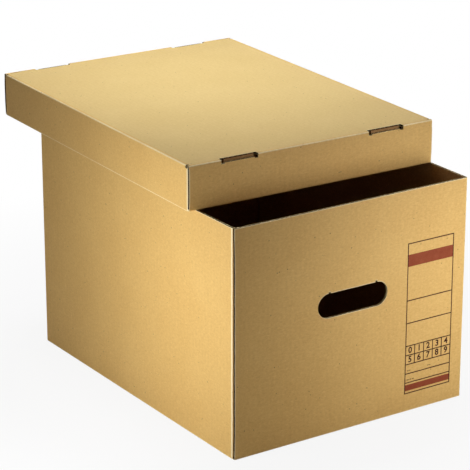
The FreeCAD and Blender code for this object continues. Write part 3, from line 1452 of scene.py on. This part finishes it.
@dataclass
class Label:
    """The form printed on the front wall: a frame, two blank bands, rules and a digit grid.

    rules, grid_rows, bands and marks are heights in millimetres; a mark is its x, its z and its
    width. digit_weight thickens the type, digit_share is its size against its cell, and mark_share
    how thick a mark is against a rule.
    """

    face_y: float
    left: float = 79.5 * MM
    right: float = 147.0 * MM
    low: float = 23.0 * MM
    high: float = 213.7 * MM
    rule: float = 1.3 * MM
    film: float = 0.05 * MM
    digit_weight: float = 0.3 * MM
    digit_share: float = 0.92
    mark_share: float = 0.6
    rules: tuple[float, ...] = (142.0, 113.2, 84.0, 72.1, 60.4, 48.4, 36.6)
    grid_rows: tuple[float, float] = (84.0, 60.4)
    bands: tuple[tuple[float, float], ...] = ((184.8, 199.8), (26.2, 34.0))
    marks: tuple[tuple[float, float, float], ...] = (
        (82.0, 52.2, 2.6), (85.4, 52.2, 2.0), (113.0, 52.6, 2.2), (116.0, 52.6, 1.6),
        (82.0, 40.4, 3.4), (86.4, 40.4, 2.4), (90.0, 40.4, 3.0),
    )

    def ink_block(self, x0: float, x1: float, z0: float, z1: float) -> Patch:
        """A film of ink on the wall's face."""
        low, high = self.face_y - self.film, self.face_y + self.film
        return slab((x0, low, z0), (x1, high, z1), Face.OUTSIDE)

    def line_patches(self) -> list[Patch]:
        """The frame, the rules, the uprights of the digit grid and the short marks.

        Returns:
            A patch for each line.
        """
        half = self.rule / 2
        patches = []
        for z in [self.low / MM, self.high / MM, *self.rules]:
            patches.append(
                self.ink_block(self.left - half, self.right + half, z * MM - half, z * MM + half)
            )
        for x in (self.left, self.right):
            patches.append(self.ink_block(x - half, x + half, self.low, self.high))
        top, bottom = self.grid_rows
        for column in range(1, 5):
            x = self.left + (self.right - self.left) * column / 5
            patches.append(self.ink_block(x - half, x + half, bottom * MM, top * MM))
        for x, z, width in self.marks:
            thin = self.mark_share * half
            patches.append(self.ink_block(x * MM, (x + width) * MM, z * MM - thin, z * MM + thin))
        return patches

    def digit_mesh(
        self, digit: int, centre_x: float, centre_z: float, size: float
    ) -> bpy.types.Mesh:
        """One digit as a thin mesh that stands on the wall's face, its front towards -Y.

        Args:
            digit: which digit.
            centre_x: the middle of its cell on X.
            centre_z: the middle of its cell on Z.
            size: the size of the type.

        Returns:
            The mesh.
        """
        curve = bpy.data.curves.new(f"digit_{digit}", "FONT")
        curve.body = str(digit)
        curve.size = size
        curve.align_x = "CENTER"
        curve.align_y = "CENTER"
        curve.extrude = self.film
        curve.offset = self.digit_weight
        curve.resolution_u = 4
        holder = bpy.data.objects.new(curve.name, curve)
        mesh = bpy.data.meshes.new_from_object(holder)
        count = len(mesh.vertices)
        flat = np.empty(count * 3)
        mesh.vertices.foreach_get("co", flat)
        flat = flat.reshape(-1, 3)
        x, z, y = flat.T
        standing = np.stack([x + centre_x, self.face_y - y, z + centre_z], axis=1)
        mesh.vertices.foreach_set("co", standing.ravel())
        bpy.data.objects.remove(holder)
        bpy.data.curves.remove(curve)
        return mesh

    def build(self) -> None:
        """Make the ink pieces."""
        line_ink = Ink("line_ink", (56, 20, 10), (74, 32, 16)).build()
        band_ink = Ink("band_ink", (140, 62, 34), (152, 78, 46)).build()
        make_piece("label_lines", self.line_patches(), [line_ink], "box", [])
        half = self.rule / 2
        bands = [
            self.ink_block(self.left + half, self.right - half, low * MM, high * MM)
            for low, high in self.bands
        ]
        make_piece("label_bands", bands, [band_ink], "box", [])
        top, bottom = self.grid_rows
        cell_x = (self.right - self.left) / 5
        cell_z = (top - bottom) / 2 * MM
        for digit in range(10):
            column, row = digit % 5, digit // 5
            mesh = self.digit_mesh(
                digit,
                self.left + (column + 0.5) * cell_x,
                top * MM - (row + 0.5) * cell_z,
                self.digit_share * cell_z,
            )
            mesh.materials.clear()
            mesh.materials.append(line_ink)
            piece = bpy.data.objects.new(f"label_digit_{digit}", mesh)
            bpy.context.scene.collection.objects.link(piece)
            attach(piece, "box")
            log.info("label_digit_%d: %d faces, on box", digit, len(mesh.polygons))


@dataclass(frozen=True)
class Lamp:
    """A soft square lamp aimed from one point at another; power in watts, spread in degrees."""

    name: str
    at: tuple[float, float, float]
    to: tuple[float, float, float]
    size: float
    power: float
    colour: tuple[float, float, float]
    spread: float = 180.0

    def build(self) -> None:
        """Hang the lamp, out of the camera's sight."""
        data = bpy.data.lights.new(self.name, "AREA")
        data.shape = "SQUARE"
        data.spread = math.radians(self.spread)
        data.size = self.size
        data.energy = self.power
        data.color = self.colour
        lamp = bpy.data.objects.new(self.name, data)
        lamp.visible_camera = False
        aim(lamp, self.at, self.to)


def aim(
    lamp: bpy.types.Object, at: tuple[float, float, float], to: tuple[float, float, float]
) -> None:
    """Place a lamp, looking at a point.

    Args:
        lamp: the lamp.
        at: where it hangs.
        to: the point that it looks at.
    """
    lamp.location = at
    lamp.rotation_euler = (Vector(to) - Vector(at)).to_track_quat("-Z", "Y").to_euler()
    bpy.context.scene.collection.objects.link(lamp)


@dataclass
class Studio:
    """Floor, lamps, world and camera; heading and pitch in degrees, the lens in millimetres."""

    camera_at: tuple[float, float, float] = (-1.462, -2.161, 1.108)
    heading: float = 33.74
    pitch: float = 19.66
    lens: float = 172.5
    floor_half: float = 6.0
    floor_drop: float = 0.3 * MM
    daylight_from: tuple[float, float, float] = (0.55, 0.3, 0.8)
    daylight_strength: float = 0.72
    daylight_angle: float = 30.0
    lamps: tuple[Lamp, ...] = (
        Lamp("left", (-0.486, -0.155, 0.2), (-0.16, -0.145, 0.2), 0.22, 1.27, (0.96, 1.0, 1.0)),
        Lamp("front", (0.3, -0.65, 0.22), (0.15, -0.22, 0.18), 0.3, 0.57, (0.98, 1.0, 1.0), 80.0),
        Lamp("right_top", (0.6, 0.3, 0.9), (0.05, 0.1, 0.33), 0.6, 1.7, (0.96, 1.0, 1.0)),
        Lamp("top", (-0.1, 0.45, 0.9), (0.02, 0.12, 0.33), 0.6, 0.45, (1.0, 0.95, 0.9), 110.0),
        Lamp("over", (0.0, 0.35, 1.55), (0.03, 0.15, 0.33), 0.35, 0.82, (0.92, 1.0, 1.0), 45.0),
    )

    def floor(self) -> None:
        """A pale floor that reads as white to the camera and keeps the object's shadow."""
        half = [-self.floor_half, self.floor_half]
        x, y = np.meshgrid(half, half, indexing="ij")
        points = np.stack([x, y, np.full_like(x, -self.floor_drop)], axis=-1).reshape(-1, 3)
        mesh = bpy.data.meshes.new("floor")
        mesh.from_pydata(points.tolist(), [], [(0, 2, 3, 1)])
        floor = bpy.data.objects.new("floor", mesh)
        bpy.context.scene.collection.objects.link(floor)
        shader = Shader("floor_paper")
        shader.set(Base_Color=(0.5, 0.5, 0.5, 1.0), Roughness=0.9)
        spot = shader.node("ShaderNodeTexCoord", output="Object")
        away = shader.node("ShaderNodeVectorMath", {"operation": "LENGTH"}, {0: spot}, "Value")
        share = shader.ramp(away, 0.3, 0.75, 0.9, 1.0)
        glow = shader.node(
            "ShaderNodeEmission", {}, {"Color": (1.0, 1.0, 1.0, 1.0), "Strength": 1.0}
        )
        shader.show(
            shader.node(
                "ShaderNodeMixShader", {}, {0: shader.seen() * share, 1: shader.surface, 2: glow}
            )
        )
        mesh.materials.append(shader.material)

    def world(self) -> None:
        """Pale to the camera, a dim warm grey to everything else."""
        world = bpy.data.worlds.new("studio")
        bpy.context.scene.world = world
        tree = NodeTree(world, "ShaderNodeOutputWorld")
        camera = tree.node("ShaderNodeLightPath", output="Is Camera Ray")
        dim = tree.node(
            "ShaderNodeBackground", {}, {"Color": (1.0, 0.7, 0.5, 1.0), "Strength": 0.06}
        )
        pale = tree.node("ShaderNodeBackground", {}, {"Strength": 1.0})
        tree.show(tree.node("ShaderNodeMixShader", {}, {0: camera, 1: dim, 2: pale}))

    def daylight(self) -> None:
        """Even light from one direction, soft at its shadows' edges, the same at every height."""
        data = bpy.data.lights.new("daylight", "SUN")
        data.energy = self.daylight_strength
        data.angle = math.radians(self.daylight_angle)
        aim(bpy.data.objects.new("daylight", data), self.daylight_from, (0.0, 0.0, 0.0))

    def camera(self) -> None:
        """A long lens at the front left, a little above the lid."""
        data = bpy.data.cameras.new("camera")
        data.lens = self.lens
        data.sensor_width = 36.0
        data.clip_end = 30.0
        camera = bpy.data.objects.new("camera", data)
        camera.location = self.camera_at
        camera.rotation_euler = Euler(
            (math.radians(90.0 - self.pitch), 0.0, math.radians(-self.heading)), "XYZ"
        )
        bpy.context.scene.collection.objects.link(camera)
        bpy.context.scene.camera = camera

    def build(self) -> None:
        """Set the stage."""
        bpy.context.scene.view_settings.view_transform = "Standard"
        self.floor()
        self.world()
        for lamp in self.lamps:
            lamp.build()
        self.daylight()
        self.camera()


# ---- the whole -----------------------------------------------------------------------------------


def lid_half_sizes(turn: float) -> tuple[float, float]:
    """Half the flat top panel's width and length.

    A rectangle turned by a small angle has a box whose half sizes are a cos + b sin and a sin + b
    cos, which are solved for a and b.

    Args:
        turn: the lid's turn about Z, in radians.

    Returns:
        Half the width and half the length, without the folds.
    """
    low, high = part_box("lid_top_panel")
    box_x, box_y = (high.x - low.x) / 2, (high.y - low.y) / 2
    cosine, sine = math.cos(turn), abs(math.sin(turn))
    scale = cosine**2 - sine**2
    return (box_x * cosine - box_y * sine) / scale, (box_y * cosine - box_x * sine) / scale


def main() -> None:
    """Build the box, its lid, the print and the studio."""
    logging.basicConfig(level=logging.INFO, format="%(message)s")
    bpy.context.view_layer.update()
    flap_low, flap_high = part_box("left_bottom_flap")
    # The box's recessed core shows the pale edge tone, a painted highlight that makes the rims read
    # as pale lines; the lid keeps the dark flute tone.
    board = Board(thickness=flap_high.z - flap_low.z, hollow=Face.EDGE)
    front_low, front_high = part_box("front_wall")
    right_low, right_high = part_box("right_wall")
    handle_low, handle_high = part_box("front_handle_flap")
    fold = right_high.x - front_high.x
    setback = right_high.x + front_low.x
    die_cut = 0.5 * MM
    turn = math.radians(LID_TURN)
    body = Body(
        board=board,
        wall_x=right_high.x,
        wall_y=right_high.y,
        height=right_high.z,
        fold=fold,
        setback=setback,
        hole_width=handle_high.x - handle_low.x + 2 * die_cut,
        hole_height=handle_high.z - handle_low.z + 2 * die_cut,
        hole_top=handle_low.z - die_cut,
    )
    body.build()
    Flaps(board, body.front, body.side).build()
    panel_x, panel_y = lid_half_sizes(turn)
    top_low, top_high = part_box("lid_top_panel")
    skirt_low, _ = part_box("lid_right_skirt")
    lid = Lid(
        board=replace(board, hollow=Face.FLUTE),
        half_x=panel_x + fold,
        half_y=panel_y + fold,
        height=top_high.z - skirt_low.z,
        fold=fold,
        setback=setback,
        turn=turn,
        middle=np.array([(top_low.x + top_high.x) / 2, (top_low.y + top_high.y) / 2, skirt_low.z]),
    )
    lid.build()
    Label(face_y=front_low.y).build()
    Studio().build()


if __name__ == "__main__":
    main()
